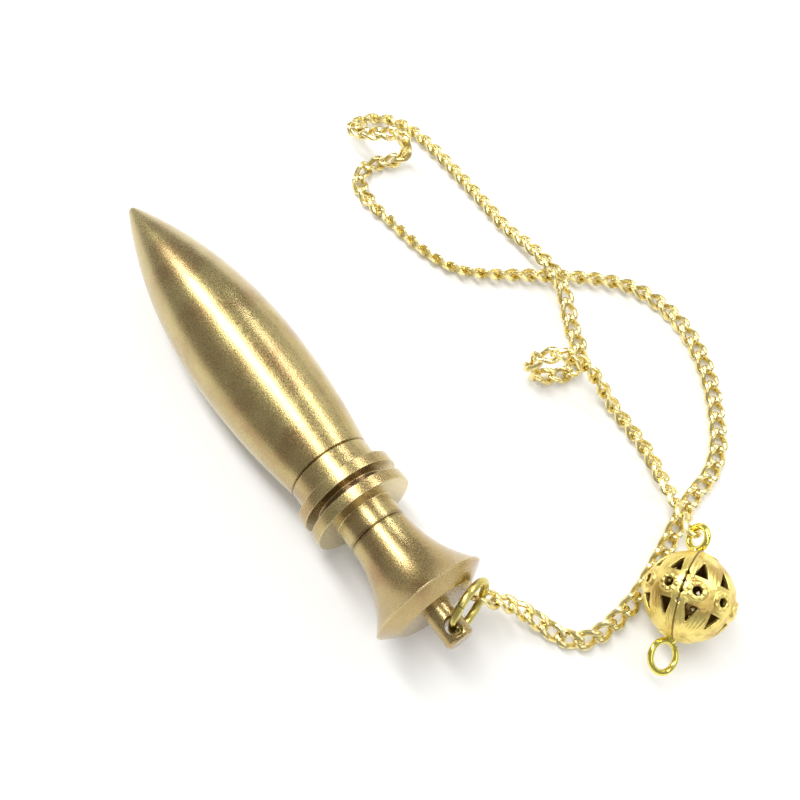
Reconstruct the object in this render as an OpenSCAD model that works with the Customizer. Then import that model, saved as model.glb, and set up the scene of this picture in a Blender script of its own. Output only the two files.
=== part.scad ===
// Pendulum pendant: a turned bob on a curb chain, with a pierced bead at the chain's far end.
// The pendant lies on the XY plane, as it was laid down. Millimetres, +Z up.

/* [Bob] */
// Radius of the rounded tip
tip_r = 0.65; // [0.4:0.05:1]
// Diameter of the ogive at its widest
belly_d = 13.1; // [11.6:0.1:13.6]
// Distance from the tip to the widest place
belly_at = 28; // [24:0.5:32]
// Length of the whole ogive
ogive_length = 44.5; // [42:0.5:46]
// Diameter of the plain band behind the ogive
band_d = 10; // [8:0.1:10.8]
// Length of the plain band
band_length = 2.75; // [1.5:0.05:4]

/* [Collars] */
// Diameter of the two collars
collar_d = 12.1; // [11:0.1:12.6]
// Thickness of each collar
collar_t = 1.4; // [0.8:0.05:1.8]
// Width of the groove between the collars
groove_w = 1.15; // [0.6:0.05:1.8]
// Diameter left at the bottom of that groove
groove_floor_d = 8.6; // [6:0.1:9.6]
// Edge break of the collars
collar_bevel = 0.12; // [0.05:0.01:0.3]

/* [Neck and bell] */
// Diameter of the neck
neck_d = 7; // [5.5:0.1:7.6]
// Length of the neck
neck_length = 2.65; // [1.5:0.05:4]
// Diameter of the bell at its rim
rim_d = 13.7; // [13.6:0.1:16]
// Length of the flaring part of the bell
bell_length = 9.1; // [7:0.1:11]
// Diameter of the flat end face
end_face_d = 9.1; // [6:0.1:11]
// Length of the short cone from the rim to the end face
end_cone_length = 1.4; // [0.8:0.05:2]
// Width of the two turned lines
line_w = 0.24; // [0.1:0.02:0.4]
// Depth of the two turned lines
line_depth = 0.16; // [0.06:0.02:0.3]

/* [Nub] */
// Length of the nub behind the end face
nub_length = 4.15; // [3.6:0.05:6]
// Diameter of the nub
nub_d = 3.3; // [3:0.1:4.6]
// Diameter of the cross hole
nub_hole_d = 1.8; // [1.6:0.05:2]
// Diameter of the countersinks at both ends of the hole
countersink_d = 2.3; // [2.1:0.05:2.6]
// Distance from the middle of the hole to the nub's end
hole_from_end = 1.5; // [1.3:0.05:2.2]
// Chamfer on the nub's end
nub_chamfer = 0.3; // [0.1:0.05:0.5]

/* [Jump ring] */
// Diameter of the ring's centre line
jump_ring_d = 6.1; // [5.6:0.1:6.8]
// Wire of the jump ring
jump_wire_d = 0.9; // [0.7:0.05:1]

/* [Chain] */
// Wire of the links
link_wire_d = 0.34; // [0.26:0.02:0.34]
// Length of a link between its wire centres
link_length = 2.88; // [2.86:0.02:2.96]
// Width of a link between its wire centres
link_width = 1.4; // [1.3:0.02:1.5]
// Rise of the twist above and below the middle plane of a link
link_twist = 0.44; // [0.4:0.02:0.48]
// Distance from one link to the next
link_pitch = 2.15; // [2.15:0.01:2.2]
// Length of the two wider end links between their wire centres
end_link_length = 3.3; // [3.1:0.05:3.6]
// Width of the two end links between their wire centres
end_link_width = 1.9; // [1.7:0.05:2.1]

/* [Bead] */
// Outer diameter of the ball without its raised parts
ball_d = 9.7; // [9:0.1:11]
// Wall of the ball
ball_wall = 0.5; // [0.35:0.05:0.8]
// Height of the raised parts
relief = 0.15; // [0.08:0.01:0.25]
// Rosettes round the ball
rosettes = 10; // [8:2:12]
// Outer diameter of a rosette
rosette_d = 2.1; // [1.7:0.05:2.4]
// Diameter of the hole in a rosette
rosette_hole_d = 1; // [0.6:0.05:1.3]
// Width of the raised band that covers the seam
seam_band_w = 1.5; // [1:0.05:2]
// Width of the open line along the seam
seam_line_w = 0.14; // [0.08:0.02:0.2]
// Depth of the line along the seam
seam_line_depth = 0.2; // [0.1:0.02:0.3]
// Diameter of the two plain caps at the poles
pole_cap_d = 3.6; // [2.6:0.1:4.2]

/* [Bead rings] */
// Diameter of the hanging ring's centre line
hanging_ring_d = 2.65; // [2.4:0.05:3]
// Wire of the hanging ring
hanging_wire_d = 0.75; // [0.6:0.05:0.8]
// Diameter of the end ring's centre line
end_ring_d = 3.4; // [2.8:0.1:4]
// Wire of the end ring
end_wire_d = 0.7; // [0.6:0.05:0.9]
// Depth the hanging ring sinks into its solder
hanging_ring_sink = 0.25; // [0:0.05:0.35]
// Diameter of the solder knob under each ring
knob_d = 1.3; // [1:0.05:1.6]

/* [Pose] */
// Heading of the bob from its tip to its nub
bob_heading = -53.5; // [-60:0.5:-45]
// Heading of the jump ring away from the nub
jump_ring_heading = 54; // [50:1:60]
// Lean of the jump ring away from upright
jump_ring_lean = 9; // [4:1:11]
// Heading of the bead's axis toward the hanging ring
bead_heading = 66.5; // [60:0.5:73]
// Rise of the bead's axis toward the hanging ring
bead_rise = 9.5; // [6:0.5:12]
// Turn of the seam about the bead's axis, away from straight up
seam_turn = 16; // [8:1:24]
// Heading of the hanging ring away from the bead's axis
hanging_ring_offset = 10; // [4:0.5:12]
// Turn of the hanging ring about its own axis, away from lying flat
hanging_ring_turn = 56; // [40:1:64]
// Heading of the end ring away from the bead's axis
end_ring_offset = -4; // [-8:0.5:4]
// Turn of the end ring about its own axis, away from lying flat
end_ring_turn = 34; // [0:1:50]

/* [Hidden] */

// Smoothness of round parts, and of the wire of the round rings
$fn = 96;
ring_wire_fn = 32;
// Extra length that makes a cut run clear past a face
past = 0.5;

// Moves the whole pendant as laid, so that the origin is under its middle
layout_shift = [0, 0.6, 0];

// Places of the pieces on the table, seen from above, before that move
nub_hole_xy = [3.1, -35.7];
bead_xy = [28.7, -31.7];

// Route of the chain: x, y, height and roll of the links about the route, at each chosen place.
// It runs from the link on the jump ring to the link in the bead's hanging ring. The roll counts
// from a direction that starts level and is carried along the route without twisting.
chain_route = [
  [5.8, -31.9, 5.0, -44],
  [8.1, -31.8, 3.7, -33],
  [10.4, -32.3, 2.6, -10],
  [12.6, -33.4, 1.5, 14],
  [14.9, -35.0, 0.9, 34],
  [17.5, -35.7, 0.9, 48],
  [19.9, -34.7, 0.9, 48],
  [21.7, -33.1, 0.9, 42],
  [23.5, -31.5, 0.9, 32],
  [25.1, -29.5, 0.7, 20],
  [26.9, -26.8, 0.7, 15],
  [28.6, -24.1, 0.7, 13],
  [30.3, -21.1, 0.7, 13],
  [32.1, -18.5, 0.7, 13],
  [34.3, -16.1, 0.7, 15],
  [35.7, -12.7, 0.7, 17],
  [36.1, -8.1, 0.7, 17],
  [35.9, -3.7, 0.7, 17],
  [35.0, 0.5, 0.7, 17],
  [33.5, 4.1, 0.7, 22],
  [30.9, 7.5, 0.8, 32],
  [27.5, 9.9, 0.9, 42],
  [23.7, 11.0, 0.9, 46],
  [20.1, 11.4, 0.9, 46],
  [16.7, 11.6, 0.9, 46],
  [12.7, 11.7, 0.9, 52],
  [8.7, 11.9, 0.9, 62],
  [4.9, 12.7, 0.9, 72],
  [1.7, 14.7, 0.9, 82],
  [-1.1, 17.3, 0.9, 86],
  [-3.8, 20.4, 0.9, 84],
  [-5.8, 22.5, 0.9, 64],
  [-7.4, 24.8, 0.9, 42],
  [-8.1, 27.2, 0.8, 26],
  [-6.8, 29.4, 0.8, 12],
  [-4.1, 30.3, 0.8, 7],
  [-2.3, 30.3, 1.4, 8],
  [-1.2, 30.6, 3.3, 9],
  [-2.1, 30.9, 5.2, 6],
  [-4.1, 31.1, 5.8, 4],
  [-6.5, 31.6, 4.9, 12],
  [-8.5, 33.1, 3.8, 20],
  [-8.7, 35.2, 2.5, 26],
  [-7.0, 37.3, 1.3, 30],
  [-4.4, 37.7, 0.9, 30],
  [-1.8, 36.5, 0.9, 30],
  [0.5, 34.5, 0.9, 30],
  [3.1, 31.4, 0.9, 30],
  [6.1, 27.3, 0.9, 30],
  [9.3, 22.8, 0.9, 30],
  [11.9, 19.0, 0.9, 32],
  [14.7, 15.7, 1.6, 36],
  [16.9, 12.2, 2.4, 44],
  [18.3, 9.3, 2.2, 52],
  [19.0, 6.3, 1.3, 58],
  [19.4, 3.5, 0.8, 61],
  [20.1, 1.5, 0.7, 61],
  [20.1, -0.8, 0.7, 61],
  [18.5, -2.6, 0.7, 65],
  [15.9, -3.1, 0.8, 72],
  [14.1, -3.1, 1.4, 75],
  [13.3, -2.9, 3.1, 75],
  [14.0, -2.7, 4.8, 75],
  [15.8, -2.5, 5.5, 72],
  [18.5, -2.5, 4.8, 68],
  [20.6, -3.4, 3.6, 70],
  [22.1, -5.1, 2.2, 72],
  [23.5, -7.2, 1.1, 72],
  [25.1, -9.7, 0.9, 72],
  [27.1, -13.1, 0.9, 72],
  [28.1, -16.3, 1.5, 68],
  [28.7, -18.9, 2.6, 60],
  [29.3, -21.7, 4.0, 54],
  [30.0, -24.9, 5.7, 54]
];

// Stations along the bob, measured from its tip
collar_1_at = ogive_length + band_length;
groove_at = collar_1_at + collar_t;
collar_2_at = groove_at + groove_w;
neck_at = collar_2_at + collar_t;
bell_at = neck_at + neck_length;
rim_at = bell_at + bell_length;
end_at = rim_at + end_cone_length;
bob_length = end_at + nub_length;
hole_at = bob_length - hole_from_end;

belly_r = belly_d / 2;
band_r = band_d / 2;
neck_r = neck_d / 2;
rim_r = rim_d / 2;

// Radius of an arc that leaves a straight line and rises by a height over a run
function rise_arc_r(run, height) = (run * run + height * height) / (2 * height);

// The front arc is tangent to the round tip and to the widest place
front_run = belly_at - tip_r;
front_arc_r = (front_run * front_run + belly_r * belly_r - tip_r * tip_r) / (2 * (belly_r - tip_r));
tip_joint_at = tip_r - tip_r * front_run / (front_arc_r - tip_r);
back_arc_r = rise_arc_r(ogive_length - belly_at, belly_r - band_r);
bell_arc_r = rise_arc_r(bell_length, rim_r - neck_r);

// The bob rests on its widest place and on its rim, which lie on one line
rest_run = rim_at - belly_at;
rest_rise = front_arc_r + rim_r - belly_r;
rest_tilt = atan2(rest_rise, rest_run) - 90 + acos(front_arc_r / norm([rest_run, rest_rise]));
hole_height = rim_r * cos(rest_tilt) + (hole_at - rim_at) * sin(rest_tilt);
nub_hole = [nub_hole_xy.x, nub_hole_xy.y, hole_height];

// The jump ring's centre line bows across the hole by this much. Half of it would put the ring
// midway in its hole, and the chain draws it a little further out.
ring_bow = (jump_ring_d - sqrt(jump_ring_d ^ 2 - nub_d ^ 2)) / 2;
ring_draw = 0.18;
jump_ring_out = jump_ring_d / 2 - ring_bow / 2 + ring_draw;

ball_r = ball_d / 2;
ball_inner_r = ball_r - ball_wall;
raised_r = ball_r + relief;
sector = 360 / rosettes;
bead_centre = [bead_xy.x, bead_xy.y, raised_r];

// Outline of half of the bob, radius against distance from the tip
module bob_outline() {
  intersection() {
    translate([0, tip_r]) circle(tip_r);
    square([tip_r, tip_joint_at]);
  }
  intersection() {
    translate([belly_r - front_arc_r, belly_at]) circle(front_arc_r);
    translate([0, tip_joint_at]) square([belly_r, belly_at - tip_joint_at]);
  }
  intersection() {
    translate([belly_r - back_arc_r, belly_at]) circle(back_arc_r);
    translate([0, belly_at]) square([belly_r, ogive_length - belly_at]);
  }
  translate([0, ogive_length]) square([band_r, band_length]);
  collar_outline(collar_1_at);
  translate([0, groove_at]) square([groove_floor_d / 2, groove_w]);
  collar_outline(collar_2_at);
  translate([0, neck_at]) square([neck_r, neck_length]);
  difference() {
    translate([0, bell_at]) square([rim_r, bell_length]);
    translate([neck_r + bell_arc_r, bell_at]) circle(bell_arc_r);
  }
  polygon([[0, rim_at], [rim_r, rim_at], [end_face_d / 2, end_at], [0, end_at]]);
  polygon([
    [0, end_at],
    [nub_d / 2, end_at],
    [nub_d / 2, bob_length - nub_chamfer],
    [nub_d / 2 - nub_chamfer, bob_length],
    [0, bob_length]
  ]);
}

module collar_outline(at) {
  r = collar_d / 2;
  b = collar_bevel;
  polygon([
    [0, at],
    [r - b, at],
    [r, at + b],
    [r, at + collar_t - b],
    [r - b, at + collar_t],
    [0, at + collar_t]
  ]);
}

// Turned line, a small vee cut into a surface of the given radius
module turned_line(at, r) {
  polygon([
    [r - line_depth, at],
    [r + line_depth, at - line_w],
    [r + line_depth, at + line_w]
  ]);
}

// Hole through the nub with a countersink at each end, along Z
module cross_hole() {
  cylinder(h = nub_d + 2 * past, d = nub_hole_d, center = true);
  sink_depth = (countersink_d - nub_hole_d) / 2;
  for (side = [-1, 1])
    translate([0, 0, side * nub_d / 2])
      rotate([side > 0 ? 0 : 180, 0, 0])
        translate([0, 0, -sink_depth])
          cylinder(h = sink_depth + past, r1 = nub_hole_d / 2, r2 = countersink_d / 2 + past);
}

// Bob along +X from its nub hole at the origin, lying at its resting tilt
module bob() {
  color("darkgoldenrod")
    translate(nub_hole)
      rotate([0, 0, bob_heading])
        rotate([0, -rest_tilt, 0])
          difference() {
            translate([-hole_at, 0, 0])
              rotate([0, 90, 0])
                rotate_extrude()
                  difference() {
                    bob_outline();
                    turned_line(ogive_length, band_r);
                    turned_line(bell_at, neck_r);
                  }
            cross_hole();
          }
}

module wire_ring(centre_d, wire_d) {
  rotate_extrude() translate([centre_d / 2, 0]) circle(d = wire_d, $fn = ring_wire_fn);
}

// Ring on edge through the nub, leaning over on its own diameter
module jump_ring() {
  color("olive")
    translate(nub_hole)
      rotate([0, 0, jump_ring_heading])
        rotate([-jump_ring_lean, 0, 0])
          translate([jump_ring_out, 0, 0])
            rotate([90, 0, 0])
              wire_ring(jump_ring_d, jump_wire_d);
}

// Chain: the route is a smooth curve through the chosen places, walked at the links' pitch
steps_per_place = 10;
route_end = len(chain_route) - 1;

function route_row(i) =
  i < 0 ? 2 * chain_route[0] - chain_route[1] :
  i > route_end ? 2 * chain_route[route_end] - chain_route[route_end - 1] :
  chain_route[i];

function smooth(a, b, c, d, t) =
  0.5 * (2 * b + (c - a) * t + (2 * a - 5 * b + 4 * c - d) * t * t + (3 * b - 3 * c + d - a) * t * t * t);

route_curve = [
  for (i = [0 : route_end - 1], k = [0 : steps_per_place - 1])
    smooth(route_row(i - 1), route_row(i), route_row(i + 1), route_row(i + 2), k / steps_per_place),
  chain_route[route_end]
];

function place(row) = [row[0], row[1], row[2]];

route_walk = [
  for (i = 0, s = 0; i < len(route_curve);
    s = s + (i + 1 < len(route_curve) ? norm(place(route_curve[i + 1]) - place(route_curve[i])) : 0),
    i = i + 1) s
];
route_length = route_walk[len(route_walk) - 1];

function unit(v) = v / norm(v);

// The part of a direction that is square to another one
function squared(v, along) = unit(v - (v * along) * along);

function route_direction(i) =
  unit(place(route_curve[min(i + 1, len(route_curve) - 1)]) - place(route_curve[max(i - 1, 0)]));

route_side = [
  for (i = 0, side = squared([0, 1, 0], route_direction(0)); i < len(route_curve);
    i = i + 1, side = squared(side, route_direction(i))) side
];

function track(list, column) = [for (i = [0 : len(list) - 1]) [route_walk[i], list[i][column]]];
track_x = track(route_curve, 0);
track_y = track(route_curve, 1);
track_z = track(route_curve, 2);
track_roll = track(route_curve, 3);
track_side_x = track(route_side, 0);
track_side_y = track(route_side, 1);
track_side_z = track(route_side, 2);

function route_at(s) = [lookup(s, track_x), lookup(s, track_y), lookup(s, track_z)];
function side_at(s) = [lookup(s, track_side_x), lookup(s, track_side_y), lookup(s, track_side_z)];

// The pitch is fitted so that whole links fill the route
end_pitch = end_link_length - link_length + link_pitch;
plain_links = round((route_length - 2 * end_pitch) / link_pitch);
fitted_pitch = (route_length - 2 * end_pitch) / plain_links;
link_count = plain_links + 2;

// Where a link starts along the route; the next link starts where it ends
function link_start(i) =
  i == 0 ? 0 :
  i == link_count ? route_length :
  end_pitch + (i - 1) * fitted_pitch;

link_rings = 12;
wire_sides = 5;

// Middle of a link's wire at an angle round the link: an oval that is twisted like a figure of eight
function link_wire(size, turn) =
  [size.x / 2 * cos(turn), size.y / 2 * sin(turn), link_twist * sin(2 * turn)];

function link_wire_direction(size, turn) =
  unit([-size.x / 2 * sin(turn), size.y / 2 * cos(turn), 2 * link_twist * cos(2 * turn)]);

function link_skin(size) = [
  for (i = [0 : link_rings - 1])
    let (
      turn = 360 * i / link_rings,
      middle = link_wire(size, turn),
      along = link_wire_direction(size, turn),
      side = unit(cross(along, [0, 0, 1])),
      up = cross(side, along)
    )
    for (k = [0 : wire_sides - 1])
      let (a = 360 * k / wire_sides)
      middle + link_wire_d / 2 * (cos(a) * side + sin(a) * up)
];

link_faces = [
  for (i = [0 : link_rings - 1], k = [0 : wire_sides - 1])
    let (
      i2 = (i + 1) % link_rings,
      k2 = (k + 1) % wire_sides,
      a = i * wire_sides + k,
      b = i * wire_sides + k2,
      c = i2 * wire_sides + k2,
      d = i2 * wire_sides + k
    )
    each [[a, b, c], [a, c, d]]
];

// One link, lying along its own stretch of the route
module link(i) {
  size = i == 0 || i == link_count - 1 ? [end_link_length, end_link_width] : [link_length, link_width];
  start = link_start(i);
  end = link_start(i + 1);
  forward = unit(route_at(end) - route_at(start));
  centre = (route_at(start) + route_at(end)) / 2;
  middle = (start + end) / 2;
  roll = lookup(middle, track_roll);
  side = squared(side_at(middle), forward);
  above = cross(forward, side);
  wide = cos(roll) * side + sin(roll) * above;
  thick = cos(roll) * above - sin(roll) * side;
  polyhedron(
    points = [for (p = link_skin(size)) centre + p.x * forward + p.y * wide + p.z * thick],
    faces = link_faces
  );
}

module chain() {
  color("khaki")
    for (i = [0 : link_count - 1]) link(i);
}

// Bead: latitudes of the openings, from its equator toward each pole
window_base_lat = 19;
window_tip_lat = 41;
gusset_tip_lat = 31;
gusset_base_lat = 55;
window_half_turn = 9;
gusset_half_turn = 13;
cross_hole_lats = [-18, -6, 6, 18];
cross_hole_span = 0.62;
cross_hole_waist = 0.2;
start_turn = 7;

// Carries a shape from the ball's +Z axis to a latitude and longitude, with its +Y toward the pole
module on_ball(lat, lon) {
  rotate([0, 0, lon])
    rotate([0, 90 - lat, 0])
      rotate([0, 0, 90])
        children();
}

// Cutting length through the wall, from inside the ball to outside its relief
module through_wall() {
  translate([0, 0, ball_inner_r - past])
    linear_extrude(ball_wall + relief + 2 * past)
      children();
}

// Flat place on the ball, straight across from latitude and longitude differences
function reach_up(from_lat, to_lat) = ball_r * sin(to_lat - from_lat);
function reach_side(lat, half_turn) = ball_r * cos(lat) * sin(half_turn);

// Triangle with its base toward the equator, above or below a rosette
module window(side, lon) {
  mid = (window_base_lat + window_tip_lat) / 2;
  w = reach_side(window_base_lat, window_half_turn);
  on_ball(side * mid, lon)
    through_wall()
      polygon([
        [-w, side * reach_up(mid, window_base_lat)],
        [w, side * reach_up(mid, window_base_lat)],
        [0, side * reach_up(mid, window_tip_lat)]
      ]);
}

// Triangle with its base toward the pole, between two windows
module gusset(side, lon) {
  mid = (gusset_tip_lat + gusset_base_lat) / 2;
  w = reach_side(gusset_base_lat, gusset_half_turn);
  on_ball(side * mid, lon)
    through_wall()
      polygon([
        [-w, side * reach_up(mid, gusset_base_lat)],
        [w, side * reach_up(mid, gusset_base_lat)],
        [0, side * reach_up(mid, gusset_tip_lat)]
      ]);
}

// Small four-pointed hole in the seam band
module cross_opening(lat, lon) {
  a = cross_hole_span / 2;
  b = cross_hole_waist / 2;
  on_ball(lat, lon)
    through_wall()
      polygon([[a, 0], [b, b], [0, a], [-b, b], [-a, 0], [-b, -b], [0, -a], [b, -b]]);
}

// Sphere whose start line runs between the openings
module round_ball(r) {
  rotate([0, 0, start_turn]) sphere(r);
}

module ball_skin() {
  round_ball(ball_r);
  intersection() {
    round_ball(raised_r);
    union() {
      cube([2 * raised_r + past, seam_band_w, 2 * raised_r + past], center = true);
      for (k = [0 : rosettes - 1])
        on_ball(0, (k + 0.5) * sector) cylinder(h = raised_r + past, d = rosette_d);
      cylinder(h = 2 * raised_r + past, d = pole_cap_d, center = true);
    }
  }
}

// Pierced ball with its axis along Z and its seam in the XZ plane
module ball() {
  difference() {
    ball_skin();
    round_ball(ball_inner_r);
    for (k = [0 : rosettes - 1]) {
      on_ball(0, (k + 0.5) * sector)
        cylinder(h = raised_r + past, d = rosette_hole_d);
      for (side = [-1, 1]) {
        window(side, (k + 0.5) * sector);
        if (k % (rosettes / 2) != 0) gusset(side, k * sector);
      }
    }
    for (lon = [0, 180], lat = cross_hole_lats) cross_opening(lat, lon);
    rotate([90, 0, 0])
      rotate_extrude()
        translate([raised_r - seam_line_depth, -seam_line_w / 2])
          square([seam_line_depth + past, seam_line_w]);
  }
}

// Ring on a solder knob that stands on the ball, along +Z from the ball's middle
module ball_ring(ring_d, wire_d, sink, turn) {
  ring_out = raised_r - sink + wire_d / 2 + ring_d / 2;
  knob_from = ball_r - ball_wall / 2;
  rotate([0, 0, turn]) {
    translate([0, 0, ring_out]) rotate([90, 0, 0]) wire_ring(ring_d, wire_d);
    translate([0, 0, knob_from]) cylinder(h = ring_out - ring_d / 2 - knob_from, d = knob_d);
  }
}

// Turns +Z to point along a heading and rise
module aim(heading, rise) {
  rotate([0, 0, heading]) rotate([0, 90 - rise, 0]) children();
}

module bead() {
  color("gold")
    translate(bead_centre) {
      aim(bead_heading, bead_rise)
        rotate([0, 0, 180 + seam_turn]) ball();
      aim(bead_heading + hanging_ring_offset, bead_rise)
        ball_ring(hanging_ring_d, hanging_wire_d, hanging_ring_sink, 90 - hanging_ring_turn);
      aim(bead_heading + end_ring_offset, bead_rise)
        rotate([180, 0, 0]) ball_ring(end_ring_d, end_wire_d, 0, 90 - end_ring_turn);
    }
}

translate(layout_shift) bob();
translate(layout_shift) jump_ring();
translate(layout_shift) chain();
translate(layout_shift) bead();
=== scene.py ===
import math
import bmesh
import bpy
import numpy as np
from mathutils import Matrix, Vector


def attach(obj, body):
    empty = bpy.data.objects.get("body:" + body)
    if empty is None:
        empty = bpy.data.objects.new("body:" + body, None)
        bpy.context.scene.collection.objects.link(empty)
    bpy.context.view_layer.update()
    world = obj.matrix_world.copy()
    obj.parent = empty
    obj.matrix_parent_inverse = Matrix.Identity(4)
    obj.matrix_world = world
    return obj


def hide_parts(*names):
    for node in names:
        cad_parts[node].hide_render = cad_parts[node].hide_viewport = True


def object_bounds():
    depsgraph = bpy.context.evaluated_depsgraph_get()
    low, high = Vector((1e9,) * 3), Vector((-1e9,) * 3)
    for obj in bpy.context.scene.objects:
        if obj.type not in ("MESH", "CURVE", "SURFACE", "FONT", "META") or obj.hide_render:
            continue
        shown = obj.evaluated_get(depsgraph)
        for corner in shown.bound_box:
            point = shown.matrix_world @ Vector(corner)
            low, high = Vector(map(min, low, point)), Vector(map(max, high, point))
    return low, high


# Pendulum pendant: a turned bob, a jump ring, a curb chain and a pierced bead, lying on a table.
# Lengths in the dictionaries are millimetres, as on a drawing. Everything in the scene is in metres.
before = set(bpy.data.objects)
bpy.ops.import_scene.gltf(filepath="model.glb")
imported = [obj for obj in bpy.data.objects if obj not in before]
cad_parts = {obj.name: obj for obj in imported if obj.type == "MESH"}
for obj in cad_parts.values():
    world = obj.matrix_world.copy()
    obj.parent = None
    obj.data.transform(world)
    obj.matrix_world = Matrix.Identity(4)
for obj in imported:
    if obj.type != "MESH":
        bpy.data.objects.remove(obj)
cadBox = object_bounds()
scene = bpy.context.scene
mm = 0.001
cleaning = dict(
    mergeWithin=0.002,
    collapseUnder=0.0005,
    cadMergeWithin=0.001,
)
print("frame loaded:", sorted(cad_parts))


# Helpers
def hexColour(code):
    # sRGB hex to the linear colour that shaders take
    channels = [int(code[i:i + 2], 16) / 255 for i in (0, 2, 4)]
    linear = [c / 12.92 if c <= 0.04045 else ((c + 0.055) / 1.055) ** 2.4 for c in channels]
    return (*linear, 1.0)


def turnZ(degrees):
    return Matrix.Rotation(math.radians(degrees), 4, "Z")


def addNode(tree, kind, sockets=None, **settings):
    # one node, with its settings; a socket takes a plain value or another node's output
    node = tree.nodes.new(kind)
    for name, value in settings.items():
        setattr(node, name, value)
    for key, value in (sockets or {}).items():
        if isinstance(value, bpy.types.NodeSocket):
            tree.links.new(value, node.inputs[key])
        elif isinstance(value, list):
            for one in reversed(value):
                tree.links.new(one, node.inputs[key])
        else:
            node.inputs[key].default_value = value
    return node


def startTree(name, sizes):
    # a Geometry Nodes tree with one named input for each size
    tree = bpy.data.node_groups.new(name, "GeometryNodeTree")
    tree.interface.new_socket("Geometry", in_out="INPUT", socket_type="NodeSocketGeometry")
    for label in sizes:
        tree.interface.new_socket(label, in_out="INPUT", socket_type="NodeSocketFloat")
    tree.interface.new_socket("Geometry", in_out="OUTPUT", socket_type="NodeSocketGeometry")
    return tree, addNode(tree, "NodeGroupInput").outputs


def endTree(tree, shape, finish):
    # every tree ends in real geometry with its material on it
    real = addNode(tree, "GeometryNodeRealizeInstances", {"Geometry": shape})
    done = addNode(tree, "GeometryNodeSetMaterial", {"Geometry": real.outputs[0], "Material": finish})
    addNode(tree, "NodeGroupOutput", {"Geometry": done.outputs[0]})


def runTree(name, data, tree, sizes, place=Matrix.Identity(4), voxel=None, relax=0, keep=1.0):
    # puts the tree on a holder, evaluates it once, and keeps only the plain mesh;
    # with a voxel size, what overlaps is fused, softened and thinned to a share of its faces
    holder = bpy.data.objects.new(name + "Holder", data)
    scene.collection.objects.link(holder)
    maker = holder.modifiers.new("maker", "NODES")
    maker.node_group = tree
    for item in tree.interface.items_tree:
        if item.in_out == "INPUT" and item.name in sizes:
            maker[item.identifier] = float(sizes[item.name])
    if voxel:
        fuse = holder.modifiers.new("fuse", "REMESH")
        fuse.mode = "VOXEL"
        fuse.voxel_size = voxel
        soften = holder.modifiers.new("soften", "SMOOTH")
        soften.factor = 0.5
        soften.iterations = relax
        thin = holder.modifiers.new("thin", "DECIMATE")
        thin.ratio = keep
    evaluated = holder.evaluated_get(bpy.context.evaluated_depsgraph_get())
    mesh = bpy.data.meshes.new_from_object(evaluated)
    mesh.name = name
    mesh.transform(place)
    bpy.data.objects.remove(holder)
    return mesh


def finishPiece(name, mesh, node, sharpAngle):
    # merges doubles, shades smooth up to the sharp angle, and hands the piece to the frame;
    # a wire or petal that would pass the table or the pendant's reach is worn flat there
    low, high = cadBox
    for vert in mesh.vertices:
        vert.co = [min(max(c, a), b) for c, a, b in zip(vert.co, low, high)]
    work = bmesh.new()
    work.from_mesh(mesh)
    bmesh.ops.remove_doubles(work, verts=work.verts, dist=cleaning["mergeWithin"] * mm)
    bmesh.ops.dissolve_degenerate(work, edges=work.edges, dist=cleaning["collapseUnder"] * mm)
    bmesh.ops.recalc_face_normals(work, faces=work.faces)
    work.to_mesh(mesh)
    work.free()
    mesh.shade_smooth()
    mesh.set_sharp_from_angle(angle=math.radians(sharpAngle))
    piece = bpy.data.objects.new(name, mesh)
    scene.collection.objects.link(piece)
    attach(piece, "root")
    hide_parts(node)
    print(name, "has", len(mesh.polygons), "faces")


# Camera: 45 mm lens over the table, tipped 25.6 degrees from straight down
camera = dict(
    place=(-2.4, -58.5, 111.17),
    tip=25.575,
    lens=45.0,
    sensor=36.0,
)
lens = bpy.data.cameras.new("camera")
lens.lens = camera["lens"]
lens.sensor_width = camera["sensor"]
lens.clip_start = 0.005
lens.clip_end = 5.0
eye = bpy.data.objects.new("camera", lens)
eye.location = Vector(camera["place"]) * mm
eye.rotation_euler = (math.radians(camera["tip"]), 0, 0)
scene.collection.objects.link(eye)
scene.camera = eye
scene.view_settings.view_transform = "Standard"
print("camera placed")


# Bob
bob = dict(
    length=68.5,
    tipRadius=0.65,
    bellyDiameter=13.1,
    bellyAt=28.0,
    ogiveLength=44.5,
    bandDiameter=10.0,
    bandLength=2.75,
    collarDiameter=12.1,
    collarThickness=1.4,
    collarBevel=0.12,
    grooveWidth=1.15,
    grooveFloorDiameter=8.6,
    neckDiameter=7.0,
    neckLength=2.65,
    rimDiameter=13.7,
    bellLength=9.1,
    endFaceDiameter=9.1,
    endConeLength=1.4,
    lineWidth=0.24,
    lineDepth=0.16,
    nubDiameter=3.3,
    nubHoleDiameter=1.8,
    countersinkDiameter=2.3,
    holeFromEnd=1.5,
    nubChamfer=0.3,
    heading=-53.5,
    nubHoleXY=(3.1, -35.1),
    edge=0.06,
    cornerSoftness=0.1,
    axisRadius=0.001,
    axisMerge=0.0025,
    tipSteps=8,
    frontSteps=60,
    backSteps=36,
    bellSteps=48,
    turns=256,
    drillSides=64,
    sharpAngle=32,
)


def arcPoints(centreAt, centreRadius, r, fromAt, toAt, steps):
    # points of an arc that bulges outward (r over 0) or inward (r under 0), by station
    points = []
    for i in range(steps + 1):
        at = fromAt + (toAt - fromAt) * i / steps
        reach = math.sqrt(max(r * r - (at - centreAt) ** 2, 0))
        points.append((at, centreRadius + math.copysign(reach, r), 0))
    return points


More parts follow.
